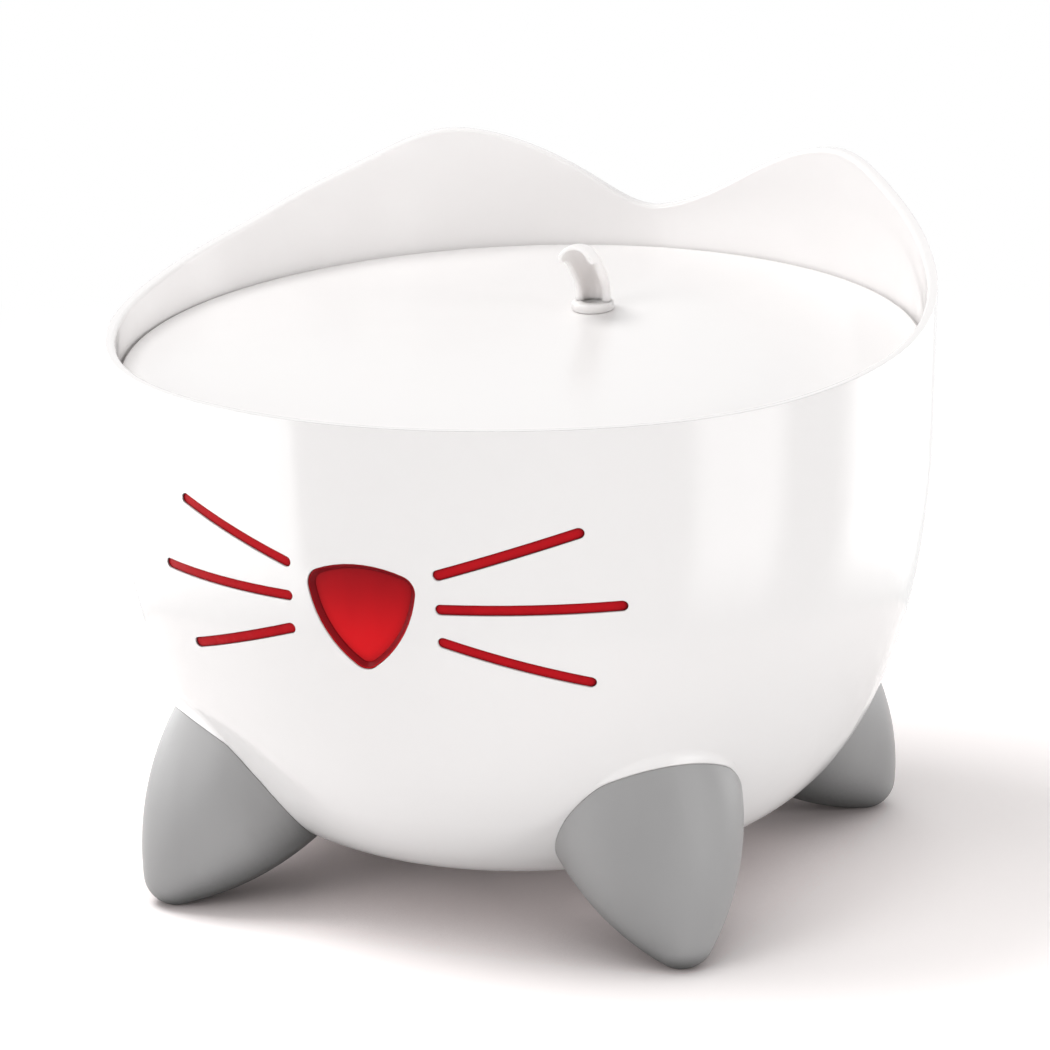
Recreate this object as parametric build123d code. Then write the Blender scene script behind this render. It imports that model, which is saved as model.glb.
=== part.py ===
"""Pet water fountain: a round basin with two ears, a sloped drinking lid with a spout, and a
filter canister with a submersible pump. Millimetres, +Z up, origin on the floor under the
basin's centre, -Y towards the face of the basin."""

from build123d import *
import math
import os

os.makedirs("parts", exist_ok=True)

# ------------------------------------------------------------------ driving dimensions
seat_gap = 0.2             # under each piece that lifts off its seat
tool_margin = 10.0         # how far a cutting tool passes the object
face_depth = 54.0          # how far back the face's tools reach from the front of the wall

# Basin shell
bowl_radius = 120.0        # outside of the straight wall
bowl_depth = 128.2         # from the bottom of the straight wall to the underside
bowl_base_z = 9.4          # underside above the floor
side_power = 1.98          # fullness of the section up the side
girth_power = 4.32         # flatness of the section across the bottom
shell_wall = 3.0
wall_rise = 19.9           # from the top of the curved part to the front of the rim
wall_draft = 1.5           # degrees that the straight wall leans outwards
rim_round = 1.2
# Height of the rim above its front, at angles counted from the back
rim_rise = [(0, 14.6), (10, 22.0), (20, 32.8), (26, 37.0), (32.5, 38.7), (38.5, 36.3),
            (44, 32.0), (51, 26.8), (58, 22.0), (66, 16.6), (75, 12.3), (90, 6.7),
            (106, 3.0), (124, 0.5), (152, 0.0)]

# Feet: blunt cones with bowed sides, leaning in under the basin
foot_lean = 40.8           # degrees from upright
foot_tip_radius = 9.5
foot_tip_angle = 42.3      # half-angle of the cone where the tip ends
foot_side_radius = 85.3
foot_length = 48.5         # from the tip to the joint with the hip
foot_tip_z = 1.8
front_foot_azimuth = 43.65  # degrees from the front
front_foot_inset = 1.2     # from the basin's largest radius in to the tip's axis
rear_foot_azimuth = 127.2
rear_foot_inset = 7.6
foot_peg_radius = 8.0
foot_peg_depth = 26.0
hip_lip = 0.5              # step from the foot out to the hip
hip_flare = 5.7
hip_rise = 5.6
hip_blend = 3.5            # where the hip runs into the bowl

# Face: lens openings in the front wall, with heights measured down from the front of the rim
nose_tip_drop = 69.1
nose_height = 30.5
nose_tip_round = 4.5
nose_corner_round = 5.0
nose_turns = (36.0, 82.0, 158.0)  # headings where tip, side and corner arcs end
lens_recess = 0.5
nose_dish = 1.4             # the nose's face lies this much deeper inside a bevelled border
nose_border = 1.6
nose_bevel = 1.2
lens_gap = 0.1
lens_flange = 1.6
lens_flange_thick = 1.6
whisker_width = 2.9
whisker_margin = 1.5
# Inner and outer ends of each whisker on one side, across and down
whisker_ends = [((21.0, 40.7), (59.4, 28.3)),
                ((21.1, 50.1), (68.8, 50.1)),
                ((21.2, 59.3), (60.0, 72.4))]

# Night-light chamber behind the nose
gasket_thick = 1.2
gasket_width = 4.1
light_depth = 21.0         # from the front of the wall to the back of the cover
light_cover_wall = 2.0
light_boss_depth = 14.0    # from the front of the wall to the ends of the screw bosses
light_boss_radius = 3.6
light_tab_thick = 2.5
light_screw_drops = [(0.0, 29.5), (-10.0, 73.5), (10.0, 73.5)]
light_screw_radius = 1.25
light_screw_head = 2.5
light_screw_length = 7.0
light_head_thick = 1.6
light_cross = (2.6, 0.7, 0.8)  # length, width and depth of the driver's recess
light_tab_rim = 1.0
board_thick = 1.6
board_gap = 0.2
chip_size = (3.5, 2.8, 1.4)
chip_drops = [(-6.0, 47.5), (6.0, 47.5), (0.0, 58.5)]

# Drinking lid
lid_slope = 3.43           # degrees, falling to the front
lid_drop = 5.37            # from the front of the rim to the lid's top on the basin's axis
lid_thick = 2.5
lid_gap = 0.6
lid_edge_round = 0.8
ledge_width = 3.5
ledge_thick = 3.0
drain_inset = 13.4         # from the lid's edge
drain_length = 13.0
drain_width = 4.0
drain_pitch = 10.0         # degrees
drain_count = 7
lid_rib_inset = 6.4
lid_rib_wall = 2.0
lid_rib_height = 4.0

# Spout and the riser below it
riser_x = 5.7              # the riser's axis, to the right of the basin's axis
riser_y = 44.0             # and behind it
spout_radius = 5.4
spout_bore = 3.1
spout_front_cut = 1.2      # the open front starts this far before the tube's axis
spout_lip_round = 2.4       # where the open front runs into the open end
spout_edge_round = 0.5
spout_upright = 7.5        # height of the first bend above the lid
spout_rise = 9.3           # up and forward through the slanted length
spout_nose = 6.2           # level length at the end
spout_bend = 8.0
spout_ring_radius = 6.4
spout_ring_height = 2.6
spout_stub_radius = 4.5
spout_stub_length = 14.8
spout_fit = 0.1
lid_boss_radius = 9.0
lid_boss_depth = 3.3
riser_wall = 1.8
riser_foot_gap = 0.3
riser_top_gap = 0.5

# Filter canister
case_seat_z = 24.0         # underside of the canister
case_clearance = 1.1       # from the motor's corners to the canister's wall
case_height = 76.0
case_wall = 2.0
case_fit = 0.4
seat_width = 4.0
seat_lip_height = 3.0
seat_lip_wall = 2.0
seat_notch = 10.0
shelf_z = 70.0
shelf_thick = 3.0
shelf_depth = 5.0
shelf_width = 14.0
grille_thick = 3.0
grille_spigot = 3.0
grille_slots = 12
grille_slot_width = 3.2
grip_radius = 11.0
grip_wall = 2.0
grip_height = 5.0
slot_margin = 1.5          # from a ring of slots to the walls on either side

# Filter cartridge
cartridge_gap = 0.8
cartridge_height = 20.0
cartridge_wall = 1.5
cartridge_sleeve_gap = 0.8
foam_thick = 6.0
cap_thick = 1.5
cartridge_slots = 12
cartridge_slot_width = 3.0

# Pump, its rotor lying along X
cup_height = 4.0
cup_radius = 4.2
cup_lip = 0.6
cup_neck = 0.8             # how far the cup's neck stands out round its peg
cup_peg_radius = 1.6
cup_peg_depth = 2.0
cups_at = [(9.0, -8.0), (9.0, 8.0), (20.0, -8.0), (20.0, 8.0)]
pump_axis_rise = 16.0      # rotor axis above the underside of the motor
pump_top_rise = 29.0
pump_half_width = 14.5
pump_end_x = 25.0
pump_corner = 3.0
chamber_radius = 12.0
chamber_half = 5.0
volute_wall = 2.5
well_radius = 7.0
well_wall = 1.2
well_end_x = 19.0
outlet_bore = 3.0
nozzle_top_rise = 42.0
core_span = (7.0, 19.0)
core_leg_gap = 0.4
core_leg_thick = 4.0
core_yoke_z = (2.0, 6.5)   # above the underside of the motor
core_leg_top = 25.0
coil_half_length = 6.0
coil_overlap = 0.8
cap_plate_thick = 2.5
cap_plate_edge = 2.0
cover_thick = 3.0
seal_radii = (12.8, 13.8)
seal_depth = 1.0
shaft_radius = 1.5
shaft_fit = 0.05
bush_radius = 3.2
bush_length = 2.0
sleeve_radius = 3.0
magnet_radius = 6.4
magnet_span = (5.8, 18.0)
impeller_radius = 10.5
impeller_hub = 3.6
blade_count = 6
blade_thick = 1.1
blade_span = (-3.5, 2.0)
disc_thick = 1.5
intake_count = 6
intake_radius = 2.0
intake_circle = 7.5
dial_radius = 12.0
dial_thick = 2.0
dial_gap = 0.2
dial_pin_radius = 2.0
dial_head_radius = 3.2
dial_head_thick = 1.2
dial_tab = (5.0, 3.5)      # width, and how far it stands out

# Cable grommet in the rear wall, above the water
grommet_drop = 12.5        # from the front of the rim
grommet_hole_radius = 4.5
grommet_bore = 2.0         # where it grips the cable
grommet_relief = 3.2       # where it passes the wall
grommet_sleeve_radius = 3.8
grommet_sleeve = 5.0       # length of the grip, inside the tank
grommet_flange_radius = 6.5
grommet_recess = 1.0
grommet_outer_flange = 0.8
grommet_inner_flange = 1.2
grommet_gap = 0.2          # from the inner flange to the curved wall

# ------------------------------------------------------------------ derived values
belly_z = bowl_base_z + bowl_depth
rim_front_z = belly_z + wall_rise
tall = rim_front_z + max(rise for _, rise in rim_rise) + tool_margin
far = 3.0 * bowl_radius
face_front = bowl_radius + tool_margin
face_back = bowl_radius - face_depth
wall_face = bowl_radius - shell_wall
light_back = bowl_radius - light_depth
light_boss_face = bowl_radius - light_boss_depth
light_screws_at = [(x, rim_front_z - drop) for x, drop in light_screw_drops]
chips_at = [(x, rim_front_z - drop) for x, drop in chip_drops]
grommet_z = rim_front_z - grommet_drop
lid_z = rim_front_z - lid_drop
lid_radius = wall_face - lid_gap
lid_rib_radius = lid_radius - lid_rib_inset
lid_fall = math.tan(math.radians(lid_slope))
riser_bore = spout_stub_radius + spout_fit
riser_radius = riser_bore + riser_wall
lid_z_at_riser = lid_z + lid_fall * riser_y
case_inner = math.hypot(pump_end_x, pump_half_width) + case_clearance
case_radius = case_inner + case_wall
case_floor_z = case_seat_z + case_wall
case_top_z = case_seat_z + case_height
grille_z = case_top_z + seat_gap
cup_z = case_floor_z + seat_gap
motor_z = cup_z + cup_height
rotor_z = motor_z + pump_axis_rise
RISER = Location((riser_x, riser_y, 0))
ROTOR = Plane(origin=(riser_x, riser_y, rotor_z), x_dir=(0, 1, 0), z_dir=(1, 0, 0))


def save(shape, name):
    export_step(shape, f"parts/{name}.step")


# ------------------------------------------------------------------ helpers on the basin's form
def wall_point(turn, depth):
    """Point (radius, height) of the basin's section: a superellipse quadrant, moved in by
    depth along its normal. turn is 0 at the straight wall and 90 at the axis."""
    c = max(math.cos(math.radians(turn)), 0.0) ** (2.0 / girth_power)
    s = math.sin(math.radians(turn)) ** (2.0 / side_power)
    out = girth_power / bowl_radius * c ** (girth_power - 1.0)
    down = side_power / bowl_depth * s ** (side_power - 1.0) if turn > 0 else 0.0
    size = math.hypot(out, down)
    return (bowl_radius * c - depth * out / size, belly_z - bowl_depth * s + depth * down / size)


def bowl_form(depth):
    """The basin's outer form, moved in by depth, as one solid that runs up past the ears."""
    turns = [90, 88] + [82.5 - 7.5 * i for i in range(12)]
    points = [wall_point(turn, depth) for turn in turns]
    points[0] = (0.0, points[0][1])
    lean = math.tan(math.radians(wall_draft))
    curve = Spline(*points, tangents=[(1, 0), (lean, 1)])
    radius = bowl_radius - depth
    sides = Polyline((radius, belly_z), (radius + lean * (tall - belly_z), tall), (0, tall),
                     points[0])
    return revolve(Plane.XZ * make_face([curve, sides]), Axis.Z)


def through_front(sketch, near, back):
    """A sketch in the front view, extruded from near to back, both measured from the axis."""
    return extrude(Plane.XZ.offset(back) * sketch, near - back)


def band(outline, near_depth, back_depth):
    """The part of a front-view outline that lies between two depths of the wall."""
    prism = through_front(outline, face_front, face_back)
    return prism & bowl_form(near_depth) - bowl_form(back_depth)


def upright(radius, low, high, bore=0.0):
    """A tube or rod on the riser's axis."""
    rod = Cylinder(radius, high - low, align=(Align.CENTER, Align.CENTER, Align.MIN))
    if bore > 0:
        rod -= Cylinder(bore, high - low, align=(Align.CENTER, Align.CENTER, Align.MIN))
    return RISER * Pos(0, 0, low) * rod


def below_slope(drop, thick):
    """A slab parallel to the lid, its top drop below the lid's top face."""
    slab = Box(far, far, thick, align=(Align.CENTER, Align.CENTER, Align.MAX))
    return Pos(0, 0, lid_z) * Rot(lid_slope, 0, 0) * Pos(0, 0, -drop) * slab


def axis_rod(radius, low, high, bore=0.0):
    """A rod or ring round the rotor's axis, from low to high along X."""
    ring = Circle(radius)
    if bore > 0:
        ring -= Circle(bore)
    return extrude(ROTOR.offset(low) * ring, high - low)


def foot_plane(azimuth, inset):
    """Plane at a foot's tip, its normal running up the foot's axis into the basin."""
    turn = math.radians(azimuth)
    lean = math.radians(foot_lean)
    out = Vector(math.sin(turn), -math.cos(turn), 0)
    up = Vector(0, 0, 1)
    return Plane(origin=out * (bowl_radius - inset) + up * foot_tip_z,
                 x_dir=out * math.cos(lean) + up * math.sin(lean),
                 z_dir=up * math.cos(lean) - out * math.sin(lean))


# ------------------------------------------------------------------ feet, first as plain forms
alpha = math.radians(foot_tip_angle)
tip_edge = (foot_tip_radius * math.cos(alpha), foot_tip_radius * (1 - math.sin(alpha)))


def foot_side(height):
    """Radius of the foot's bowed side at a height above its tip."""
    lean = math.asin(math.sin(alpha) - (height - tip_edge[1]) / foot_side_radius)
    return tip_edge[0] + foot_side_radius * (math.cos(lean) - math.cos(alpha))


def tip_point(angle):
    return (foot_tip_radius * math.cos(angle), foot_tip_radius * (1 - math.sin(angle)))


foot_top_radius = foot_side(foot_length)
foot_middle = (tip_edge[1] + foot_length) / 2.0
foot_outline = [
    ThreePointArc((0, 0), tip_point((alpha + math.pi / 2) / 2), tip_edge),
    ThreePointArc(tip_edge, (foot_side(foot_middle), foot_middle), (foot_top_radius, foot_length)),
    Polyline((foot_top_radius, foot_length), (0, foot_length), (0, 0)),
]
foot_form = revolve(Plane.XZ * make_face(foot_outline), Axis.Z)

hip_edge = (foot_top_radius + hip_lip, foot_length)
hip_top = (foot_top_radius + hip_flare, foot_length + hip_rise)
hip_outline = [
    TangentArc(hip_edge, hip_top, tangent=(0, 1)),
    Polyline(hip_top, (0, hip_top[1]), (0, foot_length), hip_edge),
]
peg = Pos(0, 0, foot_length - foot_peg_depth) * Cylinder(
    foot_peg_radius, foot_peg_depth + hip_rise, align=(Align.CENTER, Align.CENTER, Align.MIN))
hip_form = revolve(Plane.XZ * make_face(hip_outline), Axis.Z) + peg

feet = {
    "foot_front_left": foot_plane(-front_foot_azimuth, front_foot_inset),
    "foot_front_right": foot_plane(front_foot_azimuth, front_foot_inset),
    "foot_rear_left": foot_plane(-rear_foot_azimuth, rear_foot_inset),
    "foot_rear_right": foot_plane(rear_foot_azimuth, rear_foot_inset),
}

# ------------------------------------------------------------------ basin shell
outer = bowl_form(0)
cavity = bowl_form(shell_wall)
basin = outer
for plane in feet.values():
    basin += plane.location * hip_form
foot_joint_z = foot_tip_z + foot_length * math.cos(math.radians(foot_lean))
hip_edges = [edge for edge in basin.edges().filter_by(GeomType.BSPLINE)
             if foot_joint_z < edge.center().Z < belly_z and abs(edge.center().Y) > foot_peg_radius]
basin = fillet(hip_edges, hip_blend) - cavity


# Ledge that follows the lid's slope
ledge = Cylinder(bowl_radius - shell_wall / 2, tall,
                 align=(Align.CENTER, Align.CENTER, Align.MIN))
ledge -= Cylinder(wall_face - ledge_width, tall,
                  align=(Align.CENTER, Align.CENTER, Align.MIN))
basin += ledge & below_slope(lid_thick + seat_gap, ledge_thick)

# Seat ring for the canister on the basin's floor
seat = upright(case_radius + case_fit + seat_lip_wall, 0, case_seat_z + seat_lip_height,
               case_radius - seat_width)
seat -= upright(case_radius + case_fit, case_seat_z - seat_gap, tall)
seat -= Pos(0, riser_y, 0) * Box(far, seat_notch, far) & bowl_form(shell_wall)
basin += seat & bowl_form(shell_wall / 2)


# Rim: everything above a closed curve round the wall is cut away
def rim_curve(radius):
    angles = rim_rise + [(180, 0.0)] + [(360 - angle, rise) for angle, rise in rim_rise[:0:-1]]
    points = [(radius * math.sin(math.radians(angle)), radius * math.cos(math.radians(angle)),
               rim_front_z + rise) for angle, rise in angles]
    return Spline(*points, periodic=True)


rim_face = Face.make_surface_from_curves(
    rim_curve(bowl_radius + tool_margin).edge(), rim_curve(wall_face - tool_margin).edge())
basin -= Solid.extrude(rim_face, Vector(0, 0, tall))
basin = fillet(basin.faces().sort_by(Axis.Z)[-1].edges(), rim_round)


# ------------------------------------------------------------------ face openings and lenses
def nose_outline(grow=0.0):
    """Rounded triangle, point down, as a chain of tangent arcs. The side and top radii follow
    from the height and from the top arc's end on the centre line. grow offsets it outwards."""
    a1, a2, a3 = (math.radians(turn) for turn in nose_turns)
    across = nose_tip_round * math.sin(a1) + nose_corner_round * (math.sin(a3) - math.sin(a2))
    up = nose_height - nose_tip_round * (1 - math.cos(a1)) - nose_corner_round * (
        math.cos(a2) - math.cos(a3))
    side_x, side_z = math.sin(a2) - math.sin(a1), math.cos(a1) - math.cos(a2)
    top_x, top_z = math.sin(a3), 1 + math.cos(a3)
    side_round = (up * top_x - across * top_z) / (side_z * top_x + side_x * top_z)
    top_round = (across + side_round * side_x) / top_x
    chain = [(0.0, a1, nose_tip_round), (a1, a2, side_round), (a2, a3, nose_corner_round),
             (a3, math.pi, top_round)]
    x, z = 0.0, rim_front_z - nose_tip_drop - grow
    points = [(x, z)]
    for start, end, radius in chain:
        for a, b in ((start, (start + end) / 2), ((start + end) / 2, end)):
            x += (radius + grow) * (math.sin(b) - math.sin(a))
            z += (radius + grow) * (math.cos(a) - math.cos(b))
            points.append((x, z))
    tip, _, p1, side, p2, corner, p3, _, top = points
    left = [(-x, z) for x, z in (p1, side, p2, corner, p3)]
    return make_face([
        ThreePointArc(left[0], tip, p1), ThreePointArc(p1, side, p2),
        ThreePointArc(p2, corner, p3), ThreePointArc(p3, (0.0, top[1]), left[4]),
        ThreePointArc(left[4], left[3], left[2]), ThreePointArc(left[2], left[1], left[0])])


def whisker_slot(ends, side, grow=0.0):
    (x0, drop0), (x1, drop1) = ends
    middle = (side * (x0 + x1) / 2, rim_front_z - (drop0 + drop1) / 2)
    angle = math.degrees(math.atan2(drop0 - drop1, side * (x1 - x0)))
    slot = SlotCenterToCenter(math.hypot(x1 - x0, drop1 - drop0) - whisker_width,
                              whisker_width + 2 * grow)
    return Pos(*middle) * Rot(0, 0, angle) * slot


def slots_of(side, grow=0.0):
    return [whisker_slot(ends, side, grow) for ends in whisker_ends]


nose = nose_outline()
nose_wide = nose_outline(lens_flange)
basin -= through_front(nose_outline(lens_gap), face_front, face_back)
for side in (-1, 1):
    for slot in slots_of(side, lens_gap):
        basin -= through_front(slot, face_front, face_back)

nose_lens = band(nose, lens_recess, shell_wall)
nose_lens -= band(nose_outline(-nose_border), 0.0, lens_recess + nose_dish)
border = nose_lens.faces().filter_by(lambda face: face.inner_wires())[0]
nose_lens = chamfer(border.inner_wires()[0].edges(), nose_bevel)
save(nose_lens + band(nose_wide, shell_wall, shell_wall + lens_flange_thick), "nose_lens")

for side, name in ((-1, "whisker_lens_left"), (1, "whisker_lens_right")):
    backing = make_hull(sum([slot.edges() for slot in slots_of(side, whisker_margin)], ShapeList()))
    lens = band(backing, shell_wall, shell_wall + lens_flange_thick)
    for slot in slots_of(side):
        lens += band(slot, lens_recess, shell_wall)
    save(lens, name)

# ------------------------------------------------------------------ night-light chamber
gasket_near = shell_wall + lens_flange_thick
gasket_back = gasket_near + gasket_thick
gasket_inner = nose_outline(lens_flange - gasket_width)
save(band(nose_wide - gasket_inner, gasket_near, gasket_back), "light_gasket")

for x, z in light_screws_at:
    boss = through_front(Pos(x, z) * Circle(light_boss_radius), bowl_radius - shell_wall / 2,
                         light_boss_face)
    boss &= bowl_form(shell_wall / 2)
    basin += boss
    hole = through_front(Pos(x, z) * Circle(light_screw_radius), light_boss_face
                         + light_screw_length - light_tab_thick, light_boss_face)
    basin -= hole

pocket_back = light_back + light_cover_wall
light_cover = through_front(nose_wide, bowl_radius, light_back) & bowl_form(gasket_back)
tabs = make_hull(sum([(Pos(x, z) * Circle(light_boss_radius + light_tab_rim)).edges()
                      for x, z in light_screws_at], ShapeList()))
light_cover += through_front(tabs, light_boss_face, light_boss_face - light_tab_thick)
light_cover -= through_front(gasket_inner, bowl_radius, pocket_back)
for x, z in light_screws_at:
    light_cover -= through_front(Pos(x, z) * Circle(light_screw_radius), bowl_radius,
                                 light_back)
save(light_cover, "light_cover")

board = nose_outline(lens_flange - gasket_width - board_gap)
save(through_front(board, pocket_back + board_thick, pocket_back), "led_board")
board_face = pocket_back + board_thick
chips = [through_front(Pos(x, z) * Rectangle(*chip_size[:2]), board_face + chip_size[2],
                       board_face) for x, z in chips_at]
save(Compound(children=chips), "led_chips")

tab_back = light_boss_face - light_tab_thick
head_back = tab_back - light_head_thick
cross_long, cross_wide, cross_deep = light_cross
screws = []
for x, z in light_screws_at:
    shank = through_front(Pos(x, z) * Circle(light_screw_radius),
                          tab_back + light_screw_length, tab_back)
    head = through_front(Pos(x, z) * Circle(light_screw_head), tab_back, head_back)
    cross = Rectangle(cross_long, cross_wide) + Rectangle(cross_wide, cross_long)
    screws.append(shank + head
                  - through_front(Pos(x, z) * cross, head_back + cross_deep, head_back))
save(Compound(children=screws), "light_cover_screws")

# ------------------------------------------------------------------ cable grommet
rear = Plane(origin=(0, 0, grommet_z), x_dir=(-1, 0, 0), z_dir=(0, 1, 0))


def rear_rod(radius, low, high, bore=0.0):
    ring = Circle(radius)
    if bore > 0:
        ring -= Circle(bore)
    return extrude(rear.offset(low) * ring, high - low)


recess_y = bowl_radius - grommet_recess
inner_flange_y = wall_face - grommet_gap
basin -= rear_rod(grommet_hole_radius, wall_face - tool_margin, far)
basin -= rear_rod(grommet_flange_radius, recess_y, far)
grommet = rear_rod(grommet_flange_radius, recess_y, recess_y + grommet_outer_flange)
grommet += rear_rod(grommet_hole_radius, inner_flange_y - grommet_inner_flange, recess_y)
grommet += rear_rod(grommet_flange_radius, inner_flange_y - grommet_inner_flange,
                    inner_flange_y)
grip_y = inner_flange_y - grommet_inner_flange
grommet += rear_rod(grommet_sleeve_radius, grip_y - grommet_sleeve, grip_y)
grommet -= rear_rod(grommet_bore, 0, far) + rear_rod(grommet_relief, grip_y, far)
save(grommet, "cable_grommet")

# ------------------------------------------------------------------ feet
below_floor = Box(far, far, far, align=(Align.CENTER, Align.CENTER, Align.MAX))
for name, plane in feet.items():
    foot = plane.location * foot_form - basin - below_floor
    save(foot.solids().sort_by(SortBy.VOLUME)[-1], name)

save(basin, "basin")

# ------------------------------------------------------------------ drinking lid
lid = Cylinder(lid_radius, tall, align=(Align.CENTER, Align.CENTER, Align.MIN))
lid &= below_slope(0, lid_thick)
lid = fillet(lid.faces().sort_by(Axis.Z)[-1].edges(), lid_edge_round)
rib = Cylinder(lid_rib_radius, tall, align=(Align.CENTER, Align.CENTER, Align.MIN))
rib -= Cylinder(lid_rib_radius - lid_rib_wall, tall,
                align=(Align.CENTER, Align.CENTER, Align.MIN))
lid += rib & below_slope(lid_thick, lid_rib_height)
lid += upright(lid_boss_radius, lid_z_at_riser - lid_thick - lid_boss_depth,
               lid_z_at_riser - lid_thick / 2)
lid -= upright(riser_bore, 0, tall)
for i in range(drain_count):
    turn = (i - (drain_count - 1) / 2) * drain_pitch
    slot = Pos(0, drain_inset - lid_radius) * SlotOverall(drain_length, drain_width)
    lid -= Rot(0, 0, turn) * extrude(slot, tall)
save(lid, "drinking_lid")

# ------------------------------------------------------------------ spout
# Seen from its right side, with x forward and y up from the lid on the riser's axis
SPOUT = Plane(origin=(riser_x, riser_y, lid_z_at_riser), x_dir=(0, -1, 0), z_dir=(-1, 0, 0))
spout_top = spout_upright + spout_rise
spout_end = spout_rise + spout_nose
bend = SPOUT * FilletPolyline((0, spout_ring_height), (0, spout_upright), (spout_rise, spout_top),
                              (spout_end, spout_top), radius=spout_bend)
tube = Plane((riser_x, riser_y, lid_z_at_riser + spout_ring_height)) * (
    Circle(spout_radius) - Circle(spout_bore))
spout = sweep(tube, path=bend)
# The front and the end are open along one curve
corner = spout_front_cut * math.tan(math.radians(22.5))
mouth_curve = FilletPolyline(
    (spout_front_cut, spout_ring_height), (spout_front_cut, spout_upright - corner),
    (spout_rise + corner, spout_top - spout_front_cut), (spout_end, spout_top - spout_front_cut),
    (spout_end, spout_top + tool_margin),
    radius=[spout_bend - spout_front_cut, spout_bend - spout_front_cut, spout_lip_round])
mouth_end = spout_end + tool_margin
mouth = make_face([mouth_curve, Polyline(
    (spout_end, spout_top + tool_margin), (mouth_end, spout_top + tool_margin),
    (mouth_end, spout_ring_height), (spout_front_cut, spout_ring_height))])
spout -= extrude(SPOUT * mouth, spout_ring_radius, both=True)
ring_top_z = lid_z_at_riser + spout_ring_height
ring = upright(spout_ring_radius, lid_z_at_riser - tool_margin, ring_top_z)
ring -= below_slope(-seat_gap, 2 * tool_margin)
spout += fillet(ring.edges().group_by(Axis.Z)[-1], spout_edge_round)
spout += upright(spout_stub_radius, lid_z_at_riser - spout_stub_length, ring_top_z)
spout -= upright(spout_bore, 0, ring_top_z)
save(spout, "spout")

# ------------------------------------------------------------------ filter canister
case = upright(case_radius, case_seat_z, case_top_z) - upright(case_inner, case_floor_z, tall)
for turn in (90, 180, 270):
    lug = Pos(case_inner - shelf_depth / 2, 0, shelf_z + shelf_thick / 2) * Box(
        shelf_depth + case_wall, shelf_width, shelf_thick)
    case += (RISER * Rot(0, 0, turn) * lug) & upright(case_radius - case_wall / 2, 0, tall)
save(case, "filter_case")


def ring_of_slots(count, width, inner, outer):
    """Radial slots between two radii round the riser, as one sketch."""
    slot = Pos((inner + outer) / 2, 0) * SlotOverall(outer - inner, width)
    return Sketch() + [Rot(0, 0, 360.0 * i / count) * slot for i in range(count)]


grille_hole = riser_radius + case_fit
grille = upright(case_radius, grille_z, grille_z + grille_thick, grille_hole)
grille += upright(case_inner - case_fit, grille_z - grille_spigot, grille_z,
                  case_inner - case_fit - case_wall)
grille += upright(grip_radius, grille_z, grille_z + grille_thick + grip_height,
                  grip_radius - grip_wall)
grille_cut = ring_of_slots(grille_slots, grille_slot_width, grip_radius + slot_margin,
                           case_inner - case_wall - slot_margin)
grille -= RISER * extrude(grille_cut, tall)
save(grille, "filter_case_cover")

# ------------------------------------------------------------------ filter cartridge
cartridge_low = shelf_z + shelf_thick + seat_gap
cartridge_top = cartridge_low + cartridge_height
cartridge_out = case_inner - cartridge_gap
sleeve_bore = riser_radius + cartridge_sleeve_gap
sleeve_out = sleeve_bore + cartridge_wall
media_out = cartridge_out - cartridge_wall
media_low = cartridge_low + cartridge_wall
frame = upright(cartridge_out, cartridge_low, cartridge_top, sleeve_bore)
frame -= upright(media_out, media_low, tall, sleeve_out)
floor_slots = ring_of_slots(cartridge_slots, cartridge_slot_width, sleeve_out + slot_margin,
                            media_out - slot_margin)
frame -= RISER * extrude(floor_slots, tall)
save(frame, "cartridge_frame")
cap_low = cartridge_top - cap_thick
save(upright(media_out, media_low, media_low + foam_thick, sleeve_out), "foam_disc")
save(upright(media_out, media_low + foam_thick, cap_low, sleeve_out), "carbon_bed")
cap = upright(media_out, cap_low, cartridge_top, sleeve_out)
cap -= RISER * extrude(floor_slots, tall)
save(cap, "cartridge_cap")

# ------------------------------------------------------------------ pump
motor = Box(pump_end_x, 2 * pump_half_width, pump_top_rise,
            align=(Align.MIN, Align.CENTER, Align.MIN))
motor = fillet(motor.edges().filter_by(Axis.Z).sort_by(Axis.X)[2:], pump_corner)
motor = RISER * Pos(0, 0, motor_z) * motor
pump = motor + axis_rod(chamber_radius + volute_wall, -chamber_half, chamber_half)
pump += upright(riser_bore, rotor_z, motor_z + nozzle_top_rise)
pump -= axis_rod(chamber_radius, -chamber_half, chamber_half)
pump -= upright(outlet_bore, rotor_z + chamber_radius / 2, tall)
pump -= axis_rod(well_radius, 0, well_end_x)
pump -= axis_rod(bush_radius, 0, well_end_x + bush_length)
pump -= axis_rod(seal_radii[1], -chamber_half, -chamber_half + seal_depth, seal_radii[0])

core_inner = well_radius + well_wall + core_leg_gap
core_outer = core_inner + core_leg_thick
core_x0, core_x1 = core_span
core_middle = (core_x0 + core_x1) / 2
core = RISER * Pos(core_middle, 0, motor_z + core_yoke_z[0]) * Box(
    core_x1 - core_x0, 2 * core_outer, core_leg_top - core_yoke_z[0],
    align=(Align.CENTER, Align.CENTER, Align.MIN))
core -= RISER * Pos(core_middle, 0, motor_z + core_yoke_z[1]) * Box(
    far, 2 * core_inner, far, align=(Align.CENTER, Align.CENTER, Align.MIN))
coil = RISER * Pos(core_middle, 0, motor_z + (core_yoke_z[0] + core_yoke_z[1]) / 2) * Box(
    core_x1 - core_x0 + 2 * coil_overlap, 2 * coil_half_length,
    core_yoke_z[1] - core_yoke_z[0] + 2 * coil_overlap)
coil -= core
pump -= core
pump -= coil
cap_low_x = pump_end_x - cap_plate_thick
motor_cap = RISER * Pos(cap_low_x, 0, motor_z + pump_top_rise / 2) * Box(
    cap_plate_thick, 2 * (pump_half_width - cap_plate_edge),
    pump_top_rise - 2 * cap_plate_edge, align=(Align.MIN, Align.CENTER, Align.CENTER))
pump -= motor_cap

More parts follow.
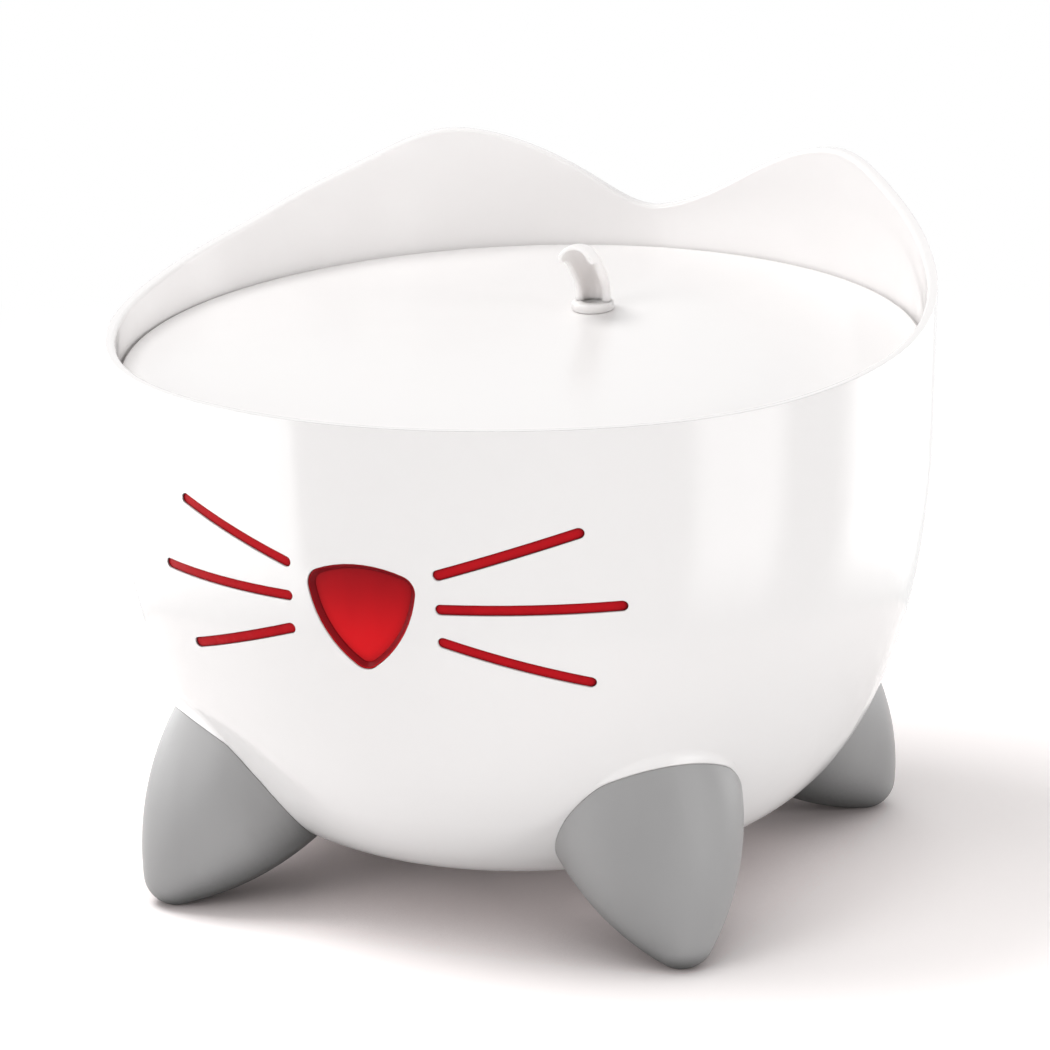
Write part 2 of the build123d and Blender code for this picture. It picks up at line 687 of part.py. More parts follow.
cups = []
for x, y in cups_at:
    profile = Polyline((0, cup_height / 2), (cup_radius, 0), (cup_radius, cup_lip),
                       (cup_peg_radius + cup_neck, cup_height), (cup_peg_radius, cup_height),
                       (cup_peg_radius, cup_height + cup_peg_depth),
                       (0, cup_height + cup_peg_depth), (0, cup_height / 2))
    cup = RISER * Pos(x, y, cup_z) * revolve(Plane.XZ * make_face(profile), Axis.Z)
    pump -= cup
    cups.append(cup)
save(Compound(children=cups), "suction_cups")
save(pump, "pump_body")
save(core, "stator_core")
save(coil, "stator_coil")
save(motor_cap, "motor_cap")
save(upright(riser_radius, rotor_z + chamber_radius + volute_wall + riser_foot_gap,
             lid_z_at_riser - lid_thick - lid_boss_depth - riser_top_gap, riser_bore),
     "riser_tube")

cover_x = -chamber_half - cover_thick
bush_x = -chamber_half - bush_length
cover = axis_rod(chamber_radius + volute_wall, cover_x, -chamber_half)
cover -= axis_rod(bush_radius, bush_x, -chamber_half)
cover += axis_rod(dial_pin_radius, cover_x - dial_thick - 2 * dial_gap - dial_head_thick,
                  cover_x)
cover += axis_rod(dial_head_radius, cover_x - dial_thick - 2 * dial_gap - dial_head_thick,
                  cover_x - dial_thick - 2 * dial_gap)
holes = Sketch() + [Rot(0, 0, 360.0 * i / intake_count) * Pos(intake_circle, 0)
                    * Circle(intake_radius) for i in range(intake_count)]
cover -= extrude(ROTOR.offset(cover_x) * holes, cover_thick)
save(cover, "pump_cover")
save(axis_rod(seal_radii[1], -chamber_half, -chamber_half + seal_depth, seal_radii[0]),
     "pump_seal")

dial_sketch = Circle(dial_radius) + Pos(0, dial_radius) * Rectangle(
    dial_tab[0], 2 * dial_tab[1]) - Circle(dial_pin_radius + shaft_fit) - holes
save(extrude(ROTOR.offset(cover_x - dial_gap - dial_thick) * dial_sketch, dial_thick),
     "flow_dial")

impeller = axis_rod(impeller_hub, blade_span[0], blade_span[1])
impeller += axis_rod(impeller_radius, blade_span[1], blade_span[1] + disc_thick)
impeller += axis_rod(sleeve_radius, blade_span[1], magnet_span[1])
blade = Pos(impeller_radius / 2, 0) * Rectangle(impeller_radius, blade_thick)
blades = Sketch() + [Rot(0, 0, 360.0 * i / blade_count) * blade for i in range(blade_count)]
impeller += extrude(ROTOR.offset(blade_span[0]) * (blades & Circle(impeller_radius)),
                    blade_span[1] - blade_span[0])
impeller -= axis_rod(shaft_radius + shaft_fit, -far, far)
save(impeller, "impeller")
save(axis_rod(magnet_radius, magnet_span[0], magnet_span[1], sleeve_radius), "rotor_magnet")
save(axis_rod(shaft_radius, bush_x, well_end_x + bush_length), "pump_shaft")
save(Compound(children=[axis_rod(bush_radius, bush_x, -chamber_half, shaft_radius),
                        axis_rod(bush_radius, well_end_x, well_end_x + bush_length,
                                 shaft_radius)]), "shaft_bushes")
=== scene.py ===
"""Pet water fountain: its finishes, its studio and its camera, round the solid model.
Metres, +Z up, the face of the basin towards -Y."""

import math

import bmesh
import bpy
import numpy as np
from mathutils import Matrix, Vector


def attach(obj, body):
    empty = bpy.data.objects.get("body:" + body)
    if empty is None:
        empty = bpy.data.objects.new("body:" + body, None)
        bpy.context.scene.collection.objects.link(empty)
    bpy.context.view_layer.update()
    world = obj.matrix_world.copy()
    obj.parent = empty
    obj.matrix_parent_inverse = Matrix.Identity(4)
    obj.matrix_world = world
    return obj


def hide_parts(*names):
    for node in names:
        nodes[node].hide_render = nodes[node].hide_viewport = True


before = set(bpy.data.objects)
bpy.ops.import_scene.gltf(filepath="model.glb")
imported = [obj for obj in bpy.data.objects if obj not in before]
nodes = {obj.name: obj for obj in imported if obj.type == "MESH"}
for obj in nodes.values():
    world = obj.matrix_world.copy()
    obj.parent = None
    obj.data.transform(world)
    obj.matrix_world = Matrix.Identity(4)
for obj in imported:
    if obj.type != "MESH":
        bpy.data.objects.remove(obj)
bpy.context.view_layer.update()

# ------------------------------------------------------------------ camera
# A long lens a little above the fountain and to its right, tipped by about one degree.
lens_length = 0.14786
sensor = 0.036
camera_place = Vector((0.4616, -1.1350, 0.4365))
camera_target = Vector((0.0002, 0.0001, 0.0986))
camera_roll = math.radians(-1.08)

camera_data = bpy.data.cameras.new("camera")
camera_data.sensor_width = 1000 * sensor
camera_data.lens = 1000 * lens_length
camera = bpy.data.objects.new("camera", camera_data)
bpy.context.scene.collection.objects.link(camera)
gaze = (camera_target - camera_place).normalized()
level = gaze.cross(Vector((0, 0, 1))).normalized()
upward = level.cross(gaze)
right = level * math.cos(camera_roll) + upward * math.sin(camera_roll)
top = right.cross(gaze)
camera.matrix_world = Matrix.Translation(camera_place) @ Matrix((right, top, -gaze)).transposed().to_4x4()
bpy.context.scene.camera = camera


# ------------------------------------------------------------------ basin and drinking lid
# Both are injection-moulded in white ABS with a polished face, the lid loose on a ledge inside
# the rim. The faint waviness of the moulding softens the edges of what they reflect.
class Wire:
    """One output socket. Arithmetic on it adds Math nodes and gives a new wire."""

    def __init__(self, tree, socket):
        self.tree = tree
        self.socket = socket

    def maths(self, operation, *others):
        return put(self.tree, "Math", dict(enumerate((self, *others))), operation=operation)

    def __add__(self, other):
        return self.maths("ADD", other)

    def __sub__(self, other):
        return self.maths("SUBTRACT", other)

    def __rsub__(self, other):
        return put(self.tree, "Math", {0: other, 1: self}, operation="SUBTRACT")

    def __mul__(self, other):
        return self.maths("MULTIPLY", other)

    def __pow__(self, other):
        return self.maths("POWER", other)

    __radd__ = __add__
    __rmul__ = __mul__


def put(tree, kind, values=None, output=0, stops=None, **settings):
    """Adds a node: its settings first, then values or wires for its inputs. Gives one output."""
    node = tree.nodes.new("ShaderNode" + kind)
    for name, value in settings.items():
        setattr(node, name, value)
    for place, (position, colour) in enumerate(stops or []):
        ramp = node.color_ramp.elements
        stop = ramp[place] if place < 2 else ramp.new(position)
        stop.position = position
        stop.color = (*colour, 1.0)
    for name, value in (values or {}).items():
        if isinstance(value, Wire):
            tree.links.new(value.socket, node.inputs[name])
        else:
            node.inputs[name].default_value = value
    return Wire(tree, node.outputs[output]) if node.outputs else None


def shade(name, colour, roughness, relief=None, edge=0.0, **constants):
    """A Principled material. colour, roughness and relief may be functions that take the tree and
    give a wire. relief gives a height in metres. edge is the radius to which sharp edges shine."""
    material = bpy.data.materials.new(name)
    material.use_nodes = True
    tree = material.node_tree
    shader = tree.nodes["Principled BSDF"]
    for socket, value in {"Base Color": colour, "Roughness": roughness, **constants}.items():
        if callable(value):
            tree.links.new(value(tree).socket, shader.inputs[socket])
        else:
            shader.inputs[socket].default_value = (*value, 1.0) if isinstance(value, tuple) else value
    rounded = put(tree, "Bevel", {"Radius": edge}, samples=4) if edge else None
    if relief:
        values = {"Height": relief(tree), "Distance": 1.0, "Strength": 1.0}
        if rounded:
            values["Normal"] = rounded
        rounded = put(tree, "Bump", values)
    if rounded:
        tree.links.new(rounded.socket, shader.inputs["Normal"])
    return material


def place(tree):
    """The point on the piece, in metres from the middle of the floor under the basin."""
    return put(tree, "TexCoord", output="Object")


def noise(tree, per_metre, detail=2.0, stretch=(1.0, 1.0, 1.0)):
    """Noise from 0 to 1 with a number of cells per metre, stretched by a factor on each axis."""
    scaled = put(tree, "Mapping", {"Vector": place(tree), "Scale": stretch})
    return put(tree, "TexNoise", {"Vector": scaled, "Scale": per_metre, "Detail": detail})


def between(tree, factor, low, high):
    """The colour that lies between two, at a factor from 0 to 1."""
    return put(tree, "Mix", {0: factor, 6: (*low, 1.0), 7: (*high, 1.0)}, output=2, data_type="RGBA")


def dress(material, *names):
    for name in names:
        nodes[name].material_slots[0].material = material


polished_white = shade(
    "polished_white",
    lambda tree: between(tree, noise(tree, 9.0), (0.850, 0.828, 0.822), (0.868, 0.848, 0.842)),
    lambda tree: noise(tree, 60.0) * 0.05 + 0.07,
    lambda tree: noise(tree, 40.0, 1.0) * 0.00004 + noise(tree, 700.0, 1.0) * 0.0000008,
    edge=0.0004)
lid_white = shade(
    "lid_white",
    lambda tree: between(tree, noise(tree, 9.0), (0.856, 0.836, 0.830), (0.872, 0.854, 0.848)),
    lambda tree: noise(tree, 60.0) * 0.06 + 0.17,
    lambda tree: noise(tree, 40.0, 1.0) * 0.00003 + noise(tree, 900.0, 1.0) * 0.000001,
    edge=0.0004)
dress(polished_white, "basin")
dress(lid_white, "drinking_lid")

# ------------------------------------------------------------------ feet
# Blunt hollow cones with a fine satin face, in mid-grey plastic. Each is pushed over a peg under
# the basin and leans outwards.
def openness(tree, reach):
    """1 on an open face, less where anything stands closer than reach, and 0 deep in a corner."""
    return put(tree, "AmbientOcclusion", {"Distance": reach}, output="AO", samples=12)


# Painted shade: where the basin stands close over a foot, the foot's colour is darkened.
foot_sees = 0.08                # metres within which the basin darkens a foot
foot_shut, foot_open = 0.08, 0.42       # openness at which a foot is all dark, and not dark at all
foot_painted_shade = (0.075, 0.077, 0.076, 1.0)


def foot_grey(tree):
    """Faint streaks that run down the cone, a painted sheen. Painted shade darkens the colour in the
    hollow under the basin."""
    grey = between(tree, noise(tree, 45.0, 2.0, (1.0, 1.0, 0.10)), (0.290, 0.286, 0.286),
                   (0.380, 0.375, 0.375))
    # hollow carries the painted shade, strongest where the basin stands closest over the foot.
    hollow = put(tree, "MapRange", {0: openness(tree, foot_sees), 1: foot_shut, 2: foot_open,
                                    3: 1.0, 4: 0.0})
    return put(tree, "Mix", {0: hollow, 6: grey, 7: foot_painted_shade}, output=2, data_type="RGBA")


satin_grey = shade(
    "satin_grey",
    foot_grey,
    lambda tree: noise(tree, 900.0) * 0.10 + 0.34,
    lambda tree: noise(tree, 2600.0) * 0.000012,
    edge=0.0006, **{"Specular IOR Level": 0.28})
dress(satin_grey, "foot_front_left", "foot_front_right", "foot_rear_left", "foot_rear_right")

# ------------------------------------------------------------------ nose and whisker lenses
# Windows moulded in clear red plastic, seated in their openings from inside. Their colour holds painted
# shade, darker on the nose's bevelled border and where the walls of the openings stand close, and painted
# light, the nose darker towards its top and brighter towards its tip.
# Painted light: the nose's colour brightens from the upper of these heights down to the lower.
nose_shaded_height, nose_lit_height = 0.119, 0.093    # heights between which the nose gets brighter


def red_face(tree):
    """Painted light and shade: brighter towards the tip of the nose and darker towards its top, dark on
    the bevelled border and in corners.
    """
    height = put(tree, "SeparateXYZ", {0: place(tree)}, output="Z")
    painted_light_to_tip = put(tree, "MapRange", {0: height, 1: nose_shaded_height, 2: nose_lit_height, 3: 0.34, 4: 0.95},
               interpolation_type="SMOOTHSTEP")
    facing = put(tree, "SeparateXYZ", {0: put(tree, "TexCoord", output="Normal")}, output="Y")
    # flat is painted shade on the bevelled border, set by the way the face points.
    flat = put(tree, "MapRange", {0: facing, 1: -0.78, 2: -0.93, 3: 0.22, 4: 1.0})
    streak = noise(tree, 150.0, 2.0, (1.0, 1.0, 0.3)) * 0.16 - 0.08
    # openness paints shade into the corners.
    return openness(tree, 0.0030) ** 1.6 * flat * (painted_light_to_tip + streak)


nose_red = shade(
    "nose_red",
    lambda tree: between(tree, red_face(tree), (0.13, 0.003, 0.007), (0.76, 0.009, 0.014)),
    lambda tree: noise(tree, 300.0) * 0.06 + 0.20,
    lambda tree: noise(tree, 260.0, 1.0) * 0.00001,
    edge=0.0003, IOR=1.16)
# Painted shade: the whiskers' colour darkens where the walls of their slots stand close. The noise on it
# is random tone.
whisker_red = shade(
    "whisker_red",
    lambda tree: between(tree, openness(tree, 0.0034) ** 3.0 * (noise(tree, 170.0) * 0.5 + 0.75),
                         (0.09, 0.003, 0.006), (0.52, 0.010, 0.016)),
    lambda tree: noise(tree, 300.0) * 0.06 + 0.24,
    lambda tree: noise(tree, 260.0, 1.0) * 0.00001,
    edge=0.0003, IOR=1.09)
dress(nose_red, "nose_lens")
dress(whisker_red, "whisker_lens_left", "whisker_lens_right")

# ------------------------------------------------------------------ night-light parts
# Behind the nose a satin white cover, drawn onto a silicone gasket by three stainless screws,
# keeps a small circuit board with its three chips dry.
silicone = shade(
    "silicone",
    lambda tree: between(tree, noise(tree, 120.0), (0.055, 0.055, 0.058), (0.075, 0.075, 0.078)),
    lambda tree: noise(tree, 500.0) * 0.15 + 0.55,
    lambda tree: noise(tree, 900.0) * 0.00001)
satin_white = shade(
    "satin_white",
    lambda tree: between(tree, noise(tree, 14.0), (0.790, 0.780, 0.770), (0.825, 0.815, 0.805)),
    lambda tree: noise(tree, 800.0) * 0.12 + 0.36,
    lambda tree: noise(tree, 2200.0) * 0.00001,
    edge=0.0003)
board_track = 0.0014


def board_face(tree):
    """Pale tracks under green lacquer: thin stripes at an even pitch, broken up by noise."""
    across = put(tree, "SeparateXYZ", {0: place(tree)}, output="X")
    wave = (across * (2 * math.pi / board_track)).maths("SINE")
    return (wave * noise(tree, 130.0, 0.0)).maths("GREATER_THAN", 0.42)


board_green = shade(
    "board_green",
    lambda tree: between(tree, board_face(tree), (0.010, 0.115, 0.045), (0.040, 0.215, 0.090)),
    0.28,
    lambda tree: board_face(tree) * 0.00003)
chip_yellow = shade(
    "chip_yellow",
    lambda tree: between(tree, noise(tree, 1500.0), (0.72, 0.55, 0.12), (0.80, 0.66, 0.22)),
    lambda tree: noise(tree, 900.0) * 0.1 + 0.30,
    edge=0.0001)
steel = shade(
    "stainless_steel",
    lambda tree: between(tree, noise(tree, 400.0, 2.0, (1.0, 0.1, 1.0)),
                         (0.56, 0.555, 0.545), (0.66, 0.655, 0.645)),
    lambda tree: noise(tree, 1200.0, 2.0, (1.0, 0.08, 1.0)) * 0.2 + 0.20,
    lambda tree: noise(tree, 2400.0, 2.0, (1.0, 0.05, 1.0)) * 0.000006,
    edge=0.0001, Metallic=1.0)
dress(silicone, "light_gasket", "pump_seal")
dress(satin_white, "light_cover", "cartridge_frame", "cartridge_cap", "riser_tube")
dress(board_green, "led_board")
dress(chip_yellow, "led_chips")
dress(steel, "light_cover_screws", "pump_shaft")

# ------------------------------------------------------------------ cable grommet
# A soft pale bush pressed into the rear wall. Its sleeve grips the pump's cable inside.
pale_rubber = shade(
    "pale_rubber",
    lambda tree: between(tree, noise(tree, 200.0), (0.60, 0.595, 0.585), (0.66, 0.655, 0.645)),
    lambda tree: noise(tree, 700.0) * 0.15 + 0.50,
    lambda tree: noise(tree, 1800.0) * 0.00001,
    edge=0.0003)
dress(pale_rubber, "cable_grommet")

# ------------------------------------------------------------------ spout
# A thick-walled channel in pale grey satin plastic that bends forward, open along its front.
# It stands on a ring on the lid, and a stub below the ring plugs into the lid.
spout_foot = np.array([0.0057, 0.044, 0.15477])     # on the lid's top face
lid_fall = math.tan(math.radians(3.43))
channel_outer = 0.0054
channel_wall = (0.00115, 0.00060)  # half of its thickness, at the foot and at the end
channel_turn = (1.854, 1.62)       # from the middle of the back round to the lip, in radians
channel_bend = 0.008
channel_turns = (0.0075, 0.0093, 0.0062)   # upright, slanted rise, level nose
channel_corner = 0.0032
channel_start = 0.0016         # inside the ring
ring_rows = [                  # radius, height above the lid, share of the lid's slope
    (0.0031, -0.0148, 0), (0.0041, -0.0148, 0), (0.0045, -0.0144, 0), (0.0045, 0.0002, 1),
    (0.0062, 0.0002, 1), (0.0064, 0.0004, 1), (0.0064, 0.0021, 0), (0.00625, 0.00245, 0),
    (0.0059, 0.0026, 0), (0.0035, 0.0026, 0), (0.0031, 0.0022, 0), (0.0031, -0.0148, 0)]


def bent_line(steps):
    """Points and headings on a line up, then 45 degrees forward, then level, with a round bend at
    each turn. The heading falls from 90 degrees to 0 in proportion to the length in each bend."""
    up, slant, nose = channel_turns
    cut = channel_bend * math.tan(math.radians(22.5))
    arc = channel_bend * math.radians(45)
    spans = [up - cut - channel_start, arc, slant * math.sqrt(2) - 2 * cut, arc, nose - cut]
    knots = np.concatenate(([0.0], np.cumsum(spans)))
    fine = np.linspace(0.0, knots[-1], 4000)
    heading = np.radians(np.interp(fine, knots, [90, 90, 45, 45, 0, 0]))
    pace = fine[1] - fine[0]
    forward = np.concatenate(([0.0], np.cumsum(np.cos(heading[1:]) * pace)))
    rise = np.concatenate(([0.0], np.cumsum(np.sin(heading[1:]) * pace)))
    return (knots[-1], *(np.interp(steps * knots[-1], fine, values) for values in
                         (forward, rise, heading)))


def channel(stations=96, around=88):
    """A thick sheet bent round the line: at each station a C whose two rims are half circles. Its
    thickness follows a half circle to nothing at both ends. Wall and width fall along a smooth
    step from foot to end, and the width ends in a corner arc."""
    s = np.concatenate((np.linspace(0, 0.03, 10)[:-1], np.linspace(0.03, 0.88, stations - 30),
                        1 - 0.12 * np.cos(np.linspace(0, math.pi / 2, 22))[1:]))
    length, forward, rise, heading = bent_line(s)
    along = s * length
    near_end = np.clip(along - (length - channel_corner), 0, channel_corner)
    taper = np.clip((s - 0.35) / 0.65, 0, 1)
    taper = taper * taper * (3 - 2 * taper)
    full_wall = channel_wall[0] + (channel_wall[1] - channel_wall[0]) * taper
    middle = channel_outer - full_wall
    half = (channel_turn[0] + (channel_turn[1] - channel_turn[0]) * taper) * middle
    half = half - channel_corner + np.sqrt(channel_corner**2 - near_end**2)
    to_end = np.clip((along - (length - full_wall)) / full_wall, 0, 1)
    to_start = np.clip(1 - along / full_wall, 0, 1)
    wall = full_wall * np.sqrt(np.clip(1 - to_end**2 - to_start**2, 0, 1))
    flat = (half - wall) / middle
    side, turn = around // 2 - 12, np.linspace(0, math.pi, 13)[1:-1]
    sweep = np.linspace(-1, 1, side + 1)
    angle = np.concatenate((sweep, np.ones(11), sweep[::-1], -np.ones(11)))
    out = np.concatenate((np.ones(side + 1), np.cos(turn), -np.ones(side + 1), -np.cos(turn)))
    past = np.concatenate((np.zeros(side + 1), np.sin(turn), np.zeros(side + 1), -np.sin(turn)))
    theta = flat[:, None] * angle
    radius = middle[:, None] + wall[:, None] * out
    ahead = -radius * np.cos(theta) + wall[:, None] * past * np.sin(theta)
    across = radius * np.sin(theta) + wall[:, None] * past * np.cos(theta)
    x = forward[:, None] + ahead * np.sin(heading)[:, None]
    z = rise[:, None] - ahead * np.cos(heading)[:, None]
    return np.stack((across, -x, z + channel_start), axis=-1)


def ring(around=96):
    """The rows turned round the axis. Rows that sit on the lid are tilted with its slope."""
    radius, height, share = np.array(ring_rows).T
    turn = np.linspace(0, 2 * math.pi, around, endpoint=False)
    x = radius[:, None] * np.cos(turn)
    y = radius[:, None] * np.sin(turn)
    return np.stack((x, y, height[:, None] + share[:, None] * y * lid_fall), axis=-1)


def quads(rows, columns):
    """The faces of a grid of points whose rows run round a closed loop."""
    i, j = np.meshgrid(np.arange(rows - 1), np.arange(columns), indexing="ij")
    on = (j + 1) % columns
    corners = (i * columns + j, i * columns + on, (i + 1) * columns + on, (i + 1) * columns + j)
    return np.stack(corners, axis=-1).reshape(-1, 4)


def solid(name, grids, body, material):
    """One mesh from closed grids of points. Doubles are merged and its faces turned outwards."""
    points, faces, count = [], [], 0
    for grid in grids:
        faces.append(quads(*grid.shape[:2]) + count)
        points.append(grid.reshape(-1, 3))
        count += len(points[-1])
    mesh = bpy.data.meshes.new(name)
    mesh.from_pydata(np.concatenate(points).tolist(), [], np.concatenate(faces).tolist())
    shape = bmesh.new()
    shape.from_mesh(mesh)
    bmesh.ops.remove_doubles(shape, verts=shape.verts, dist=1e-6)
    bmesh.ops.dissolve_degenerate(shape, edges=shape.edges, dist=1e-6)
    bmesh.ops.recalc_face_normals(shape, faces=shape.faces)
    shape.to_mesh(mesh)
    shape.free()
    mesh.shade_smooth()
    mesh.materials.append(material)
    piece = bpy.data.objects.new(name, mesh)
    bpy.context.scene.collection.objects.link(piece)
    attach(piece, body)
    return piece


satin_pale_grey = shade(
    "satin_pale_grey",
    lambda tree: between(tree, noise(tree, 90.0), (0.765, 0.741, 0.732), (0.805, 0.781, 0.771)),
    lambda tree: noise(tree, 900.0) * 0.10 + 0.34,
    lambda tree: noise(tree, 2400.0) * 0.000008,
    **{"Subsurface Weight": 0.8, "Subsurface Scale": 0.004, "Subsurface Radius": [1.0, 1.0, 1.0]})
spout = solid("spout_channel", [channel() + spout_foot, ring() + spout_foot],
              "spout", satin_pale_grey)
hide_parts("spout")

# ------------------------------------------------------------------ filter canister
# The canister and its slotted cover are moulded in smoke-grey ABS with a dull gloss. The cover
# drops into the canister and lifts out by the ring in its middle.
smoke_grey = shade(
    "smoke_grey",
    lambda tree: between(tree, noise(tree, 18.0), (0.245, 0.262, 0.285), (0.275, 0.292, 0.315)),
    lambda tree: noise(tree, 600.0) * 0.10 + 0.30,
    lambda tree: noise(tree, 1800.0) * 0.000006,
    edge=0.0003)
dress(smoke_grey, "filter_case", "filter_case_cover")


# ------------------------------------------------------------------ filter cartridge
# A satin white cup and cap hold a disc of open-cell foam under a bed of carbon granules. The
# foam's pores and the granules are cells of random tone with sunken borders.
def cells(tree, per_metre, output):
    return put(tree, "TexVoronoi", {"Vector": place(tree), "Scale": per_metre}, output=output)


def random_tone(tree, per_metre):
    return put(tree, "SeparateColor", {0: cells(tree, per_metre, "Color")})


foam_pores, carbon_grains = 1400.0, 620.0
foam = shade(
    "open_cell_foam",
    lambda tree: between(tree, random_tone(tree, foam_pores), (0.020, 0.022, 0.026),
                         (0.055, 0.058, 0.066)),
    0.92,
    lambda tree: cells(tree, foam_pores, "Distance") * 0.0003)
carbon = shade(
    "carbon_granules",
    lambda tree: between(tree, random_tone(tree, carbon_grains), (0.006, 0.006, 0.007),
                         (0.045, 0.044, 0.043)),
    lambda tree: random_tone(tree, carbon_grains) * 0.4 + 0.40,
    lambda tree: cells(tree, carbon_grains, "Distance") * -0.0006)
dress(foam, "foam_disc")
dress(carbon, "carbon_bed")

# ------------------------------------------------------------------ pump
# The housing is black plastic with a fine spark-eroded face, its motor sealed by black resin.
# Inside are a laminated core, a wound coil, a ferrite rotor and an acetal impeller.
eroded_black = shade(
    "eroded_black",
    lambda tree: between(tree, noise(tree, 60.0), (0.012, 0.012, 0.013), (0.020, 0.020, 0.022)),
    lambda tree: noise(tree, 1500.0) * 0.15 + 0.42,
    lambda tree: noise(tree, 3000.0, 3.0) * 0.00003,
    edge=0.0004)
black_resin = shade(
    "black_resin",
    lambda tree: between(tree, noise(tree, 80.0), (0.008, 0.008, 0.009), (0.014, 0.014, 0.015)),
    lambda tree: noise(tree, 200.0) * 0.08 + 0.12,
    lambda tree: noise(tree, 90.0, 1.0) * 0.0002)
dark_rubber = shade(
    "dark_rubber",
    lambda tree: between(tree, noise(tree, 200.0), (0.030, 0.030, 0.031), (0.042, 0.042, 0.043)),
    lambda tree: noise(tree, 700.0) * 0.15 + 0.58,
    lambda tree: noise(tree, 1500.0) * 0.00001,
    edge=0.0002)
dial_grey = shade(
    "dial_grey",
    lambda tree: between(tree, noise(tree, 60.0), (0.255, 0.262, 0.275), (0.285, 0.292, 0.305)),
    lambda tree: noise(tree, 900.0) * 0.10 + 0.34,
    lambda tree: noise(tree, 2200.0) * 0.00001,
    edge=0.0002)
acetal = shade(
    "acetal",
    lambda tree: between(tree, noise(tree, 70.0), (0.72, 0.71, 0.68), (0.77, 0.76, 0.73)),
    lambda tree: noise(tree, 900.0) * 0.10 + 0.28,
    lambda tree: noise(tree, 2200.0) * 0.000006,
    edge=0.0002)
ferrite = shade(
    "sintered_ferrite",
    lambda tree: between(tree, noise(tree, 900.0, 4.0), (0.012, 0.012, 0.013), (0.034, 0.033, 0.033)),
    lambda tree: noise(tree, 1200.0) * 0.20 + 0.38,
    lambda tree: noise(tree, 2600.0, 4.0) * 0.00002)


def ribs(tree, axis, pitch):
    """0 to 1 and back along one axis, once in every pitch."""
    along = put(tree, "SeparateXYZ", {0: place(tree)}, output=axis)
    return (along * (2 * math.pi / pitch)).maths("SINE") * 0.5 + 0.5


lamination, winding = 0.0005, 0.00035
core_steel = shade(
    "laminated_steel",
    lambda tree: between(tree, ribs(tree, "X", lamination) ** 0.4, (0.10, 0.10, 0.11),
                         (0.42, 0.42, 0.44)),
    lambda tree: noise(tree, 900.0) * 0.2 + 0.34,
    lambda tree: ribs(tree, "X", lamination) * 0.00006,
    Metallic=1.0)
coil_copper = shade(
    "enamelled_copper",
    lambda tree: between(tree, ribs(tree, "Y", winding) ** 0.5, (0.20, 0.055, 0.020),
                         (0.78, 0.33, 0.15)),
    lambda tree: noise(tree, 700.0) * 0.12 + 0.22,
    lambda tree: ribs(tree, "Y", winding) * 0.00008,
    Metallic=1.0)
dress(eroded_black, "pump_body", "pump_cover")
dress(black_resin, "motor_cap")
dress(dark_rubber, "suction_cups", "shaft_bushes")
dress(dial_grey, "flow_dial")
dress(acetal, "impeller")
dress(ferrite, "rotor_magnet")
dress(core_steel, "stator_core")
dress(coil_copper, "stator_coil")

# ------------------------------------------------------------------ studio
# A white table that runs on to the horizon, a soft sky and three square lamps: one high on the
# left, one low in front and one low on the right. A bright card bent round the basin, with three
# bands of light, stands for them in the gloss and is seen nowhere else.
floor_half = 12.0
floor_mesh = bpy.data.meshes.new("floor")
floor_mesh.from_pydata(
    [(-floor_half, -floor_half, 0), (floor_half, -floor_half, 0), (floor_half, floor_half, 0),
     (-floor_half, floor_half, 0)], [], [(0, 1, 2, 3)])
floor = bpy.data.objects.new("floor", floor_mesh)
bpy.context.scene.collection.objects.link(floor)


def is_seen(tree):
    """1 for rays from the camera, from a mirror or through glass, and 0 for those that light."""
    seen = put(tree, "LightPath", output="Is Camera Ray")
    for kind in ("Is Glossy Ray", "Is Transmission Ray"):
        seen = seen.maths("MAXIMUM", put(tree, "LightPath", output=kind))
    return seen


table_white = bpy.data.materials.new("table_white")
table_white.use_nodes = True
table = table_white.node_tree
table.nodes.clear()
table_shown = (0.86, 0.81, 0.80)
table_lift = (0.40, 0.40, 0.40, 1)      # added to what is shown
table_lit = (0.82, 0.82, 0.82, 1)       # what the pieces get their light from
# Painted shadow: the table's colour darkens where the basin hangs close over it.
table_painted_shadow = (0.35, 0.27, 0.265)       # where the basin hangs close over it
table_sees = 0.09                       # how close, in metres
table_shut, table_open = 0.05, 0.75     # openness between which the two colours change over
table_near, table_far = 0.34, 0.80      # metres from the basin between which the shading fades out
clear_of_painted_shadow = put(table, "MapRange", {0: openness(table, table_sees), 1: table_shut, 2: table_open,
                                   3: 0.0, 4: 1.0}, interpolation_type="SMOOTHSTEP")
shown = put(table, "BsdfDiffuse", {"Color": between(table, clear_of_painted_shadow, table_painted_shadow, table_shown)})
lift = put(table, "BsdfDiffuse", {"Color": table_lift})
brighter = put(table, "AddShader", {0: shown, 1: lift})
away = put(table, "VectorMath", {0: place(table)}, output="Value", operation="LENGTH")
fade = put(table, "MapRange", {0: away, 1: table_near, 2: table_far, 3: 0.0, 4: 1.0},
           interpolation_type="SMOOTHSTEP")
plain = put(table, "Emission", {"Strength": 1.0})
face = put(table, "MixShader", {0: fade, 1: brighter, 2: plain})
lit = put(table, "BsdfDiffuse", {"Color": table_lit})
put(table, "OutputMaterial", {"Surface": put(table, "MixShader", {0: is_seen(table), 1: lit, 2: face})})
floor_mesh.materials.append(table_white)

world = bpy.data.worlds.new("sky")
bpy.context.scene.world = world
world.use_nodes = True
sky = world.node_tree
sky.nodes.clear()
sky_light, sky_shown = 0.47, 1.0
dim = put(sky, "Background", {"Color": (1, 1, 1, 1), "Strength": sky_light})
white = put(sky, "Background", {"Color": (1, 1, 1, 1), "Strength": sky_shown})
put(sky, "OutputWorld", {"Surface": put(sky, "MixShader", {0: is_seen(sky), 1: dim, 2: white})})


aim = Vector((0, 0, 0.1))       # the point that the lamps face


